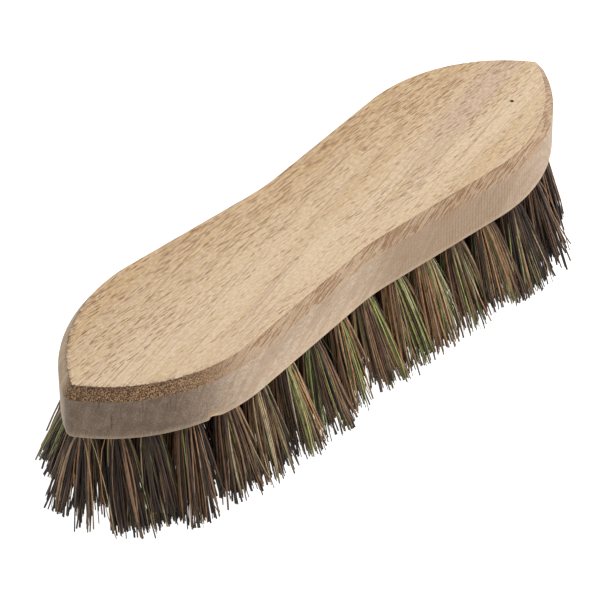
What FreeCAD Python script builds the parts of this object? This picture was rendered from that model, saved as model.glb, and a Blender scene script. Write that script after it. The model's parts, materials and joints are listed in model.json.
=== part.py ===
import FreeCAD, Part
import itertools
import math
import os

import Sketcher
from FreeCAD import Placement, Rotation, Vector

# A wooden scrubbing brush with a pointed, waisted stock. Millimetres, +Z up, +X along the stock.
# The origin is under the middle of the brush, in the plane of the trimmed bristle tips.

# Driving dimensions: name, value, meaning
SIZES = (
    ("stock_length", 225.0, "wooden stock, point to point"),
    ("stock_width", 60.0, "stock across its two wings"),
    ("wing_to_point", 50.5, "widest place of a wing to the point beyond it"),
    ("waist_depth", 4.8, "hollow of the waist, each side, below the wings"),
    ("waist_radius", 80.0, "curve of the waist"),
    ("stock_thickness", 19.0, "stock, underside to top"),
    ("chamfer_inset", 2.75, "top chamfer, measured across the top"),
    ("chamfer_drop", 3.9, "top chamfer, measured down the side"),
    ("tip_round", 0.6, "rounding of the points on the top face"),
    ("bottom_ease", 0.5, "lower edge, broken all round"),
    ("hole_diameter", 6.0, "drilled tuft holes"),
    ("hole_margin", 6.5, "edge of the stock to the middle of the outer holes"),
    ("wood_over_holes", 6.0, "wood left above an upright hole"),
    ("tuft_pitch", 13.5, "spacing of the tufts along a row"),
    ("bristle_length", 35.0, "bristles below the stock"),
    ("tuft_splay", 10.0, "outward reach of an outer tuft's axis at its tip"),
    ("end_splay", 5.5, "reach of an end tuft's axis at its tip, along the stock"),
    ("tuft_gap", 0.6, "least room between the tips of two tufts"),
    ("tuft_clearance", 0.1, "tuft to the wall and the floor of its hole"),
    ("fold_thickness", 1.6, "folded bristles behind the anchor"),
    ("anchor_width", 2.4, "flat wire of an anchor, along the hole"),
    ("anchor_thickness", 0.5, "flat wire of an anchor"),
    ("anchor_clearance", 0.05, "end of an anchor to the wall of its hole"),
    ("anchor_turn", 45.0, "anchor, turned from the grain, in degrees"),
    ("cut_overrun", 2.0, "how far a drill starts outside the wood"),
)

# Counts and shares
HOLE_SIDES = 12
TUFT_RIBS = 8
FLUTE_SHARE = 0.8
FULL_COLUMN_SHARES = (-1.0, 0.0, 1.0)
BETWEEN_COLUMN_SHARES = (-0.5, 0.5)
EDGE_PAIR_SHARES = (-1.0, 1.0)
END_TUFT_SHARES = (0.0,)

# Sizes that follow from the driving ones
TIP_RADIUS = "(sizes.chamfer_inset + sizes.tip_round)"
TIP_CENTRE = f"(sizes.stock_length / 2 - {TIP_RADIUS})"
WING_OFFSET = "(sizes.stock_length / 2 - sizes.wing_to_point)"
WING_REACH = f"(sizes.wing_to_point - {TIP_RADIUS})"
WING_RADIUS = (
    f"(({WING_REACH}^2 + sizes.stock_width^2 / 4 - {TIP_RADIUS}^2)"
    f" / (sizes.stock_width - 2 * {TIP_RADIUS}))"
)
WAIST_CENTRE = "(sizes.stock_width / 2 - sizes.waist_depth + sizes.waist_radius)"
HOLE_DEPTH = "(sizes.stock_thickness - sizes.wood_over_holes)"
FOLD_DEPTH = f"({HOLE_DEPTH} - sizes.tuft_clearance)"
ANCHOR_DEPTH = f"({FOLD_DEPTH} - sizes.fold_thickness - sizes.anchor_width)"

doc = FreeCAD.newDocument("scrubbing_brush")


def make_sheet():
    """The spreadsheet of driving dimensions, one alias to a row."""
    table = doc.addObject("Spreadsheet::Sheet", "sizes")
    for row, (name, value, meaning) in enumerate(SIZES, start=1):
        table.set(f"A{row}", name)
        table.set(f"B{row}", str(value))
        table.setAlias(f"B{row}", name)
        table.set(f"C{row}", meaning)
    doc.recompute()
    return table


sheet = make_sheet()


def size(alias):
    """A driving dimension, read from the sheet."""
    return float(sheet.get(alias))


def worked_out(expression):
    """The value of an expression of driving dimensions."""
    return float(sheet.evalExpression(expression))


class Outline:
    """The stock's plan outline: two tip arcs, four wing arcs, four straight flanks and two waist arcs."""

    def __init__(self):
        self.tip_radius = worked_out(TIP_RADIUS)
        self.tip_x = worked_out(TIP_CENTRE)
        self.wing_radius = worked_out(WING_RADIUS)
        self.wing_x = worked_out(WING_OFFSET)
        self.wing_y = size("stock_width") / 2 - self.wing_radius
        self.waist_radius = size("waist_radius")
        self.waist_y = worked_out(WAIST_CENTRE)
        # The direction in which a tip arc runs into a wing arc, and the one that a flank faces
        self.tip_angle = math.atan2(-self.wing_y, self.tip_x - self.wing_x)
        across = self.waist_y - self.wing_y
        apart = math.hypot(self.wing_x, across)
        lean = math.acos((self.wing_radius + self.waist_radius) / apart)
        self.flank_angle = math.atan2(across, -self.wing_x) - lean

    def end_of_row(self, inset):
        """Half length of the outline moved inwards by inset."""
        return self.wing_x + math.sqrt((self.wing_radius - inset) ** 2 - self.wing_y**2)

    def half_width(self, along, inset):
        """Half width at a place along the stock, of the outline moved inwards by inset."""
        along = abs(along)
        cosine = math.cos(self.flank_angle)
        sine = math.sin(self.flank_angle)
        wing = self.wing_radius - inset
        waist = self.waist_radius + inset
        if along < -waist * cosine:
            return self.waist_y - math.sqrt(waist**2 - along**2)
        if along > self.wing_x + wing * cosine:
            return self.wing_y + math.sqrt(max(0, wing**2 - (along - self.wing_x) ** 2))
        return self.wing_y + (wing - (along - self.wing_x) * cosine) / sine


def arc(centre, radius, start, end):
    """A counterclockwise arc in the plan."""
    circle = Part.Circle(Vector(*centre), Vector(0, 0, 1), radius)
    return Part.ArcOfCircle(circle, start, end)


def outline_edges(plan):
    """The outline's twelve edges, counterclockwise from the point on +X, as two halves turned end for end."""
    tip, flank = plan.tip_angle, plan.flank_angle
    facing = Vector(math.cos(flank), math.sin(flank))
    wing_end = Vector(plan.wing_x, plan.wing_y) + facing * plan.wing_radius
    waist_end = Vector(0, plan.waist_y) - facing * plan.waist_radius
    far_waist_end = Vector(-waist_end.x, waist_end.y)
    far_wing_end = Vector(-wing_end.x, wing_end.y)
    edges = []
    for side, turn in ((1, 0), (-1, math.pi)):
        near_wing = (side * plan.wing_x, side * plan.wing_y)
        far_wing = (-side * plan.wing_x, side * plan.wing_y)
        waist = (0, side * plan.waist_y)
        edges += [
            arc((side * plan.tip_x, 0), plan.tip_radius, turn - tip, turn + tip),
            arc(near_wing, plan.wing_radius, turn + tip, turn + flank),
            Part.LineSegment(wing_end * side, waist_end * side),
            arc(waist, plan.waist_radius, turn - flank, turn + flank - math.pi),
            Part.LineSegment(far_waist_end * side, far_wing_end * side),
            arc(far_wing, plan.wing_radius, turn + math.pi - flank, turn + math.pi - tip),
        ]
    return edges


def bind(sketch, constraint, name, expression):
    """Add a dimension to a sketch, by name, and tie it to the sheet."""
    index = sketch.addConstraint(Sketcher.Constraint(*constraint, worked_out(expression)))
    sketch.renameConstraint(index, name)
    sketch.setExpression(f"Constraints.{name}", expression)


def outline_sketch(body, plan):
    """The outline as a fully constrained sketch on the body's ground plane."""
    sketch = body.newObject("Sketcher::SketchObject", "stock_outline")
    ground = next(plane for plane in body.Origin.OriginFeatures if plane.Role == "XY_Plane")
    sketch.AttachmentSupport = [(ground, "")]
    sketch.MapMode = "FlatFace"
    sketch.addGeometry(outline_edges(plan), False)

    start, end, centre = 1, 2, 3
    x_axis, y_axis = -1, -2
    origin = (x_axis, start)
    tips, waists = (0, 6), (3, 9)
    right_wings, left_wings = (1, 11), (5, 7)

    # Each edge runs smoothly into the next; the waist arcs are drawn against the others
    count = sketch.GeometryCount
    for edge in range(count):
        following = (edge + 1) % count
        leave = start if edge in waists else end
        enter = end if following in waists else start
        sketch.addConstraint(Sketcher.Constraint("Tangent", edge, leave, following, enter))
    for tip in tips:
        sketch.addConstraint(Sketcher.Constraint("PointOnObject", tip, centre, x_axis))
    for waist in waists:
        sketch.addConstraint(Sketcher.Constraint("PointOnObject", waist, centre, y_axis))
    for group in (tips, waists, right_wings + left_wings):
        for other in group[1:]:
            sketch.addConstraint(Sketcher.Constraint("Equal", group[0], other))

    bind(sketch, ("Radius", tips[0]), "tip_radius", TIP_RADIUS)
    bind(sketch, ("Radius", right_wings[0]), "wing_radius", WING_RADIUS)
    bind(sketch, ("Radius", waists[0]), "waist_radius", "sizes.waist_radius")
    bind(sketch, ("DistanceX", *origin, tips[0], centre), "right_tip", TIP_CENTRE)
    bind(sketch, ("DistanceX", tips[1], centre, *origin), "left_tip", TIP_CENTRE)
    bind(sketch, ("DistanceY", *origin, waists[0], centre), "rear_waist", WAIST_CENTRE)
    bind(sketch, ("DistanceY", waists[1], centre, *origin), "front_waist", WAIST_CENTRE)
    for number, wing in enumerate(right_wings):
        bind(sketch, ("DistanceX", *origin, wing, centre), f"right_wing_{number}", WING_OFFSET)
    for number, wing in enumerate(left_wings):
        bind(sketch, ("DistanceX", wing, centre, *origin), f"left_wing_{number}", WING_OFFSET)
    doc.recompute()
    return sketch


def level_face(shape, pick):
    """The name of a shape's highest or lowest face, as pick is max or min."""
    heights = {f"Face{number}": face.CenterOfMass.z for number, face in enumerate(shape.Faces, start=1)}
    return pick(heights, key=heights.get)


def blank_stock(plan):
    """The stock before drilling: the outline, padded, with its top edge chamfered and its lower edge broken."""
    body = doc.addObject("PartDesign::Body", "stock_blank")
    pad = body.newObject("PartDesign::Pad", "stock_board")
    pad.Profile = outline_sketch(body, plan)
    pad.setExpression("Length", "sizes.stock_thickness")
    doc.recompute()

    chamfer = body.newObject("PartDesign::Chamfer", "top_chamfer")
    chamfer.Base = (pad, [level_face(pad.Shape, max)])
    chamfer.ChamferType = "Two distances"
    chamfer.setExpression("Size", "sizes.chamfer_drop")
    chamfer.setExpression("Size2", "sizes.chamfer_inset")
    doc.recompute()

    ease = body.newObject("PartDesign::Chamfer", "lower_edge")
    ease.Base = (chamfer, [level_face(chamfer.Shape, min)])
    ease.setExpression("Size", "sizes.bottom_ease")
    body.setExpression("Placement.Base.z", "sizes.bristle_length")
    doc.recompute()
    return body


class Tuft:
    """One tuft: where it leaves the stock, where its axis meets the tip plane, and its spread there."""

    def __init__(self, along, across, lean):
        self.mouth = Vector(along, across, size("bristle_length"))
        self.tip = Vector(along + lean.x, across + lean.y, 0)
        self.spread = 0
        self.inward = (self.mouth - self.tip).normalize()
        self.placement = Placement(self.mouth, Rotation(Vector(0, 0, 1), self.inward))

    def slide_in(self, corner, depth):
        """Move a corner along the tuft's axis to a depth square to its hole."""
        return corner + self.inward * (depth - (corner - self.mouth).dot(self.inward))


def column_places(plan):
    """Columns of tufts along the stock: a place, and shares of the outer row's half width there."""
    pitch = size("tuft_pitch")
    margin = size("hole_margin")
    row_end = plan.end_of_row(margin)
    last_full = row_end - pitch
    steps = int((last_full - pitch / 2) / pitch)
    columns = [(step * pitch, FULL_COLUMN_SHARES) for step in range(-steps, steps + 1)]
    between = (step * pitch - pitch / 2 for step in range(1 - steps, steps + 1))
    columns.extend((place, BETWEEN_COLUMN_SHARES) for place in between)

    # Round each point: a full column, a pair half way round the edge, and one tuft at the end
    wing = plan.wing_radius - margin
    full_angle = math.acos((last_full - plan.wing_x) / wing)
    end_angle = math.acos((row_end - plan.wing_x) / wing)
    edge_pair = plan.wing_x + wing * math.cos((full_angle + end_angle) / 2)
    ends = ((last_full, FULL_COLUMN_SHARES), (edge_pair, EDGE_PAIR_SHARES), (row_end, END_TUFT_SHARES))
    for place, shares in ends:
        columns.extend(((-place, shares), (place, shares)))
    return sorted(columns)


def lay_out_tufts(plan):
    """The tufts, column by column, fanned outwards to the edge and spread until their tips nearly meet."""
    margin = size("hole_margin")
    row_end = plan.end_of_row(margin)
    columns = []
    for along, shares in column_places(plan):
        past_wing = max(0, (abs(along) - plan.wing_x) / (row_end - plan.wing_x))
        half_width = plan.half_width(along, margin)
        column = []
        for share in shares:
            lean = Vector(math.copysign(past_wing * size("end_splay"), along), share * size("tuft_splay"))
            column.append(Tuft(along, share * half_width, lean))
        columns.append(column)

    tufts = list(itertools.chain(*columns))
    for tuft in tufts:
        nearest = min(tuft.tip.distanceToPoint(other.tip) for other in tufts if other is not tuft)
        tuft.spread = (nearest - size("tuft_gap")) / 2
    return columns


def place_copies(master, label, tufts):
    """One linked copy of a master shape at each tuft, as a group of separate solids."""
    copies = []
    for number, tuft in enumerate(tufts, start=1):
        copy = doc.addObject("App::Link", f"{label}_{number:02d}")
        copy.LinkedObject = master
        copy.LinkTransform = True
        copy.Placement = tuft.placement
        copies.append(copy)
    group = doc.addObject("Part::Compound", label)
    group.Label = label
    group.Links = copies
    return group


def drill_bit():
    """The bit for one tuft hole, many-sided to keep the model light, standing on the underside."""
    bit = doc.addObject("Part::Prism", "drill_bit")
    bit.Polygon = HOLE_SIDES
    bit.setExpression("Circumradius", f"sizes.hole_diameter / 2 / cos(180deg / {HOLE_SIDES})")
    bit.setExpression("Height", f"{HOLE_DEPTH} + sizes.cut_overrun")
    bit.setExpression("Placement.Base.z", "-sizes.cut_overrun")
    return bit


def anchor_wire():
    """One anchor: a short flat wire across the hole, inside the fold of the tuft."""
    wire = doc.addObject("Part::Box", "anchor_wire")
    wire.setExpression("Length", "sizes.hole_diameter - 2 * sizes.anchor_clearance")
    wire.setExpression("Width", "sizes.anchor_thickness")
    wire.setExpression("Height", "sizes.anchor_width")
    wire.setExpression("Placement.Base.x", "-Length / 2")
    wire.setExpression("Placement.Base.y", "-Width / 2")
    wire.setExpression("Placement.Base.z", ANCHOR_DEPTH)
    turned = doc.addObject("Part::Compound", "turned_anchor")
    turned.Links = [wire]
    turned.setExpression("Placement.Rotation.Angle", "sizes.anchor_turn")
    return turned


def rib_ring(middle, radius):
    """The corners of a level, fluted section: ribs at the radius, with flutes between them."""
    corners = []
    for step in range(2 * TUFT_RIBS):
        angle = math.pi * step / TUFT_RIBS
        reach = radius * FLUTE_SHARE if step % 2 else radius
        corners.append(middle + Vector(reach * math.cos(angle), reach * math.sin(angle), 0))
    return corners


def face_through(corners):
    """A flat face through a ring of corners."""
    return Part.Face(Part.makePolygon(corners + corners[:1]))


def bristle_bundle(tuft):
    """A folded bundle of bristles: an even shank in the hole, flaring below it to the trimmed tips.

    Its sections are fluted rings whose sides stay parallel, so every face between two rings is flat.
    """
    shank_radius = size("hole_diameter") / 2 - size("tuft_clearance")
    fold_depth = worked_out(FOLD_DEPTH)
    tips = rib_ring(tuft.tip, tuft.spread)
    mouth = rib_ring(tuft.mouth, shank_radius)
    fold = [tuft.slide_in(corner, fold_depth) for corner in mouth]
    faces = [face_through(tips), face_through(fold)]
    for lower, upper in ((tips, mouth), (mouth, fold)):
        for index in range(len(lower)):
            following = (index + 1) % len(lower)
            faces.append(face_through([lower[index], lower[following], upper[following], upper[index]]))
    return Part.makeSolid(Part.makeShell(faces))


def tuft_row(label, column, anchor):
    """One column of tufts, each with the slot that its anchor sits in."""
    tufts = []
    for tuft in column:
        wire = anchor.Shape.Solids[0].copy()
        wire.Placement = tuft.placement.multiply(wire.Placement)
        tufts.extend(bristle_bundle(tuft).cut(wire).Solids)
    row = doc.addObject("Part::Feature", label)
    row.Label = label
    row.Shape = Part.makeCompound(tufts)
    row.Placement = Placement()
    return row


def build():
    """The stock, the tufts column by column, and the anchors that hold them."""
    plan = Outline()
    columns = lay_out_tufts(plan)
    tufts = list(itertools.chain(*columns))

    stock = doc.addObject("Part::Cut", "wooden_stock")
    stock.Label = "wooden_stock"
    stock.Base = blank_stock(plan)
    stock.Tool = place_copies(drill_bit(), "tuft_holes", tufts)

    anchor = anchor_wire()
    anchors = place_copies(anchor, "tuft_anchors", tufts)
    doc.recompute()

    rows = []
    for number, column in enumerate(columns, start=1):
        rows.append(tuft_row(f"tuft_row_{number:02d}", column, anchor))
    doc.recompute()
    return [stock, *rows, anchors]


def check_and_write(parts):
    """Stop if anything failed to compute, then write one file to a sub-part."""
    for thing in doc.Objects:
        if "Invalid" in thing.State or "Error" in thing.State:
            raise RuntimeError(f"{thing.Label} did not compute: {thing.State}")
    for part in parts:
        if part.Shape.isNull() or not part.Shape.isValid() or not part.Shape.Solids:
            raise RuntimeError(f"{part.Label} has no valid solid")
    os.makedirs("parts", exist_ok=True)
    for part in parts:
        part.Shape.exportStep(f"parts/{part.Label}.step")
        print(f"{part.Label}: {len(part.Shape.Solids)} solids, {part.Shape.Volume:.1f} cubic mm")


check_and_write(build())
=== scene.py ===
import json
import math
from functools import cached_property

import bpy
import numpy as np
from bpy.props import FloatProperty, FloatVectorProperty, IntProperty, PointerProperty
from mathutils import Matrix, Vector
from mathutils.geometry import delaunay_2d_cdt


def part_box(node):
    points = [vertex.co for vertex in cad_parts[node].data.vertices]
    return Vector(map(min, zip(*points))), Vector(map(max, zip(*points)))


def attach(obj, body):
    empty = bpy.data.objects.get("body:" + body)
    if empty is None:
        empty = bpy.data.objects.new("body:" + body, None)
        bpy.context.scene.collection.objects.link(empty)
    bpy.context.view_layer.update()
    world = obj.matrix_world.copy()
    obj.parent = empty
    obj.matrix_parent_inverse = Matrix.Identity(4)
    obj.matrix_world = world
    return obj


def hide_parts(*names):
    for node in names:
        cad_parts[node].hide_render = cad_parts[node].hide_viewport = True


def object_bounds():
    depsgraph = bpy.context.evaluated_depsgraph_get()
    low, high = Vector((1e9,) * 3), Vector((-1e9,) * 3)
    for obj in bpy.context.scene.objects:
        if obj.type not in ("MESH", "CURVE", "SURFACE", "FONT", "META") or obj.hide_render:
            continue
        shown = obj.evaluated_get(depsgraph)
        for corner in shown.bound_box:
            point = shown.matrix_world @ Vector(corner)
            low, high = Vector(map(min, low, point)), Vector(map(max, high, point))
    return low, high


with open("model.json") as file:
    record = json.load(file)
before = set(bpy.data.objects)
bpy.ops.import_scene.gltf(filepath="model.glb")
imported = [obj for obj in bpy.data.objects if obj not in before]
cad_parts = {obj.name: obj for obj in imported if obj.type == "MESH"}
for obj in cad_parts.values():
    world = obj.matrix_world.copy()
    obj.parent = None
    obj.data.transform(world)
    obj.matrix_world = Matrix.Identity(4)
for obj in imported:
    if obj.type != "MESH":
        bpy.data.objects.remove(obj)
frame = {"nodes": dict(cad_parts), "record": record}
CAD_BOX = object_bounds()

# A wooden scrubbing brush: a bare beech stock, tufts of mixed stiff fibres and the anchors that hold them.
# Metres, +X along the stock, +Z up, with the tips of the CAD tufts at height zero.

bl_info = {
    "name": "Scrubbing brush",
    "version": (1, 0, 0),
    "blender": (4, 5, 0),
    "location": "View3D > Sidebar > Scrubbing brush",
    "description": "Dresses the frame of a wooden scrubbing brush with its wood grain and bristles",
    "category": "Object",
}

STOCK_NODE = "wooden_stock"
ANCHOR_NODE = "tuft_anchors"
ROW_NODES = sorted(name for name in frame["nodes"] if name.startswith("tuft_row_"))
BODY = "root"

# Each tuft collides as one piece, so a row has as many tufts as collision pieces
TUFTS_IN_ROW = frame["record"]["physics"]["collision_pieces"]

MM = 0.001
FULL_TURN = 2 * math.pi
GOLDEN_ANGLE = math.pi * (3 - math.sqrt(5))

# Places at which the bristles' fan and their tone power, partly painted shade and light, are set, as shares
# of half the brush's length
PLACE_SHARES = (-0.85, -0.4, 0.2, 0.45, 0.62, 0.85)


# Settings

def length(name, description, default):
    """A size in metres that a user may change."""
    return FloatProperty(name=name, description=description, default=default, unit="LENGTH", precision=5)


def angle(name, description, degrees):
    """An angle that a user may change."""
    return FloatProperty(name=name, description=description, default=math.radians(degrees), unit="ROTATION")


def plain(name, description, default):
    """A plain number that a user may change."""
    return FloatProperty(name=name, description=description, default=default)


def whole(name, description, default, least=1):
    """A whole number that a user may change, no less than least."""
    return IntProperty(name=name, description=description, default=default, min=least)


def power(name, description, watts):
    """The power of a lamp that a user may change."""
    return FloatProperty(name=name, description=description, default=watts, unit="POWER")


def point(name, description, *default):
    """A point in metres that a user may change."""
    return FloatVectorProperty(
        name=name, description=description, default=default, size=3, unit="LENGTH", subtype="TRANSLATION"
    )


def colour(name, description, *default):
    """A colour that a user may change."""
    return FloatVectorProperty(
        name=name, description=description, default=default, size=3, min=0, max=1, subtype="COLOR"
    )


def by_place(name, description, *default):
    """A plain number at each of the places along the stock, from the -X end to the +X end."""
    return FloatVectorProperty(name=name, description=description, default=default, size=len(PLACE_SHARES))


class StockSettings(bpy.types.PropertyGroup):
    """Sizes and colours of the wooden stock."""

    wing_to_point: length("Wing to point", "Widest place of a wing to the point beyond it", 50.5 * MM)
    waist_depth: length("Waist depth", "Hollow of the waist, each side", 4.8 * MM)
    waist_radius: length("Waist radius", "Curve of the waist", 80 * MM)
    chamfer_inset: length("Chamfer inset", "Top chamfer, across the top", 2.75 * MM)
    chamfer_drop: length("Chamfer drop", "Top chamfer, down the side", 3.9 * MM)
    tip_round: length("Tip round", "Rounding of the points on the top face", 0.6 * MM)
    lower_round: length("Lower round", "Rounding of the lower edge", 0.5 * MM)
    edge_round: length("Edge round", "Rounding of the chamfer's two edges", 0.28 * MM)
    hole_diameter: length("Hole diameter", "Drilled tuft holes", 6 * MM)
    hole_depth: length("Hole depth", "Depth of a tuft hole along its axis", 13 * MM)
    nick_place: length("Nick place", "Start of the splintered nick, along the stock", -78.5 * MM)
    nick_length: length("Nick length", "Length of the splintered nick", 5 * MM)
    nick_depth: length("Nick depth", "Depth of the splintered nick", 0.8 * MM)
    knot_along: length("Knot along", "Pin knot, along the stock", 88 * MM)
    knot_across: length("Knot across", "Pin knot, across the stock", -8 * MM)
    knot_radius: length("Knot radius", "Half the width of the pin knot", 0.7 * MM)
    grain_slant: angle("Grain slant", "Turn of the growth layers from the stock's length", 13)
    grain_tilt: plain("Grain tilt", "Rise of a growth layer's number towards the top", 0.22)
    pale: colour("Pale wood", "Wood between the flecks", 0.69, 0.533, 0.357)
    light: colour("Light wood", "Fine light grain between the pores", 0.79, 0.645, 0.47)
    tan: colour("Tan wood", "Warmer growth bands", 0.5, 0.312, 0.135)
    pink: colour("Pink wood", "Faint rosy streaks", 0.53, 0.385, 0.285)
    fleck: colour("Fleck", "Short dark flecks and thin growth lines", 0.215, 0.082, 0.017)
    stroke: colour("Stroke", "Dark strokes on the chamfer and cutter lines on the sides", 0.19, 0.092, 0.038)
    knot: colour("Knot", "Pin knot", 0.04, 0.016, 0.008)
    cut: colour("Cut grain", "Grain cut across on the chamfer", 0.435, 0.315, 0.205)
    side: colour("Planed side", "Planed side walls", 0.445, 0.36, 0.28)
    heart: colour("Heart", "Brown heart, layers and pores on the sides", 0.25, 0.165, 0.103)
    # The end grain and end wall colours are darkened further by painted shade, as they are laid on mostly
    # round the -X point
    end_grain: colour("End grain", "End grain on the chamfer round the points", 0.062, 0.027, 0.013)
    stipple: colour("Stipple", "Light stipples in the end grain", 0.41, 0.245, 0.115)
    end_wall_and_shade: colour("End wall", "End grain on the sides round the points", 0.055, 0.028, 0.014)


class BristleSettings(bpy.types.PropertyGroup):
    """Counts and sizes of the bristles."""

    per_tuft: whole("Bristles in a tuft", "Bristle ends in each tuft", 185)
    clumps: whole("Clumps", "Clumps that the bristles of a tuft draw together into", 12)
    stations: whole("Stations", "Points along a bristle, the root in its hole among them", 7, least=4)
    sides: whole("Sides", "Sides of a bristle", 5, least=3)
    thinnest: length("Thinnest", "Thickness of the finest bristles", 0.3 * MM)
    thickest: length("Thickest", "Thickness of the coarsest bristles", 0.9 * MM)
    root_depth: length("Root depth", "How far a bristle is modelled inside its hole", 7 * MM)
    root_radius: length("Root radius", "Radius that the bristles of a tuft fill in its hole", 2.6 * MM)
    ragged: length("Ragged", "Spread of the bristle tips in height", 15.5 * MM)
    bow: length("Bow", "Sideways bend of a bristle between root and tip", 0.6 * MM)
    curl: length("Curl", "Sideways bend of a bristle's tip", 0.7 * MM)
    end_trim: length("End trim", "How far bristles stop short of the tufts' reach at the +X point", 4.5 * MM)
    flare: plain("Flare", "How strongly the bristles open out just below their hole", 0.45)
    mingling: plain("Mingling", "How far tips mingle with the next tuft's along the edge", 1.5)
    clumping: plain("Clumping", "How strongly neighbouring tips draw together", 0.75)
    clump_lean: plain("Clump lean", "Spread of the clumps' own lean, in tuft radii", 0.4)
    scatter: plain("Scatter", "Spread of single tips about their clump, in tuft radii", 0.26)
    wander: plain("Wander", "Spread of whole tufts about their axis, in tuft radii", 0.12)
    strays: plain("Strays", "Part of the bristles that are thin and bent out of line", 0.018)
    fan: by_place("Fan", "Outward lean as a share of the tufts' lean", 1.09, 1.1, 1.18, 1.21, 1.24, 0.52)
    # Tone powers by place are partly the fibres' own mix and partly painted shade and light: higher powers
    # darken the tones towards the ends, lower ones lighten tufts that fall in shadow
    tone_and_shade_power: by_place("Darkening", "Power that tones are raised to", 2.3, 1.45, 0.5, 1.2, 2.7, 2.3)
    seed: whole("Seed", "Start of the random draws", 7, least=0)


class StageSettings(bpy.types.PropertyGroup):
    """Camera, floor and light."""

    azimuth: angle("Azimuth", "Turn of the camera about the brush", -47.13)
    elevation: angle("Elevation", "Height of the camera above the horizon", 39.96)
    roll: angle("Roll", "Turn of the camera about its line of sight", -0.74)
    distance: length("Distance", "Camera to the middle of the top face", 1.3446)
    sight: length("Sight", "How far the camera sees", 10)
    lens: plain("Lens", "Focal length in millimetres", 252.4)
    across: length("Across", "Camera moved sideways", -4.5 * MM)
    upward: length("Upward", "Camera moved up its own frame", -27.0 * MM)
    floor_size: length("Floor size", "Side of the floor", 4.0)
    floor_gap: length("Floor gap", "Floor below the tips of the CAD tufts", 0.2 * MM)
    floor: colour("Floor", "Colour of the floor", 0.36, 0.36, 0.36)
    floor_glow: plain("Floor glow", "Light that the floor gives off, as a lit sweep does", 1.05)
    sky_light: plain("Sky light", "Strength of the even light from all round", 0.42)
    key_place: point("Key place", "Place of the key light", 1.3, -1.0, 1.3)
    key_size: length("Key size", "Side of the key light", 1.0)
    key_power: power("Key power", "Power of the key light", 34)
    overhead_place: point("Overhead place", "Place of the overhead light", 0.1, 0.3, 2.0)
    overhead_size: length("Overhead size", "Side of the overhead light", 2.0)
    overhead_power: power("Overhead power", "Power of the overhead light", 12)


# Shader maths

# Sockets of a Mix node for colours, numbered because its sockets for other data have the same names
MIX_FACTOR, MIX_FIRST, MIX_SECOND, MIX_RESULT = 0, 6, 7, 2


class Signal:
    """A varying shader value: an output socket, on which arithmetic adds Math nodes."""

    def __init__(self, finish, socket):
        self.finish = finish
        self.socket = socket

    def math(self, operation, *others):
        """This value, then the others, through a Math node."""
        return self.finish.math(operation, self, *others)

    def __add__(self, other):
        return self.math("ADD", other)

    def __sub__(self, other):
        return self.math("SUBTRACT", other)

    def __rsub__(self, other):
        return self.finish.math("SUBTRACT", other, self)

    def __mul__(self, other):
        return self.math("MULTIPLY", other)

    __radd__ = __add__
    __rmul__ = __mul__

    def step(self, low, high):
        """0 below low, 1 above high and a smooth rise between them."""
        return self.finish.node(
            "ShaderNodeMapRange",
            {"interpolation_type": "SMOOTHSTEP"},
            {"Value": self, "From Min": low, "From Max": high},
        )

    def between(self, rise, fall):
        """0, then 1 from a smooth rise to a smooth fall, each given by its two ends, then 0 again."""
        return self.step(*rise) * (1 - self.step(*fall))

    def either(self, other):
        """1 where this value or the other is 1: one less the product of what each leaves of one."""
        return 1 - (1 - self) * (1 - other)


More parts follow.
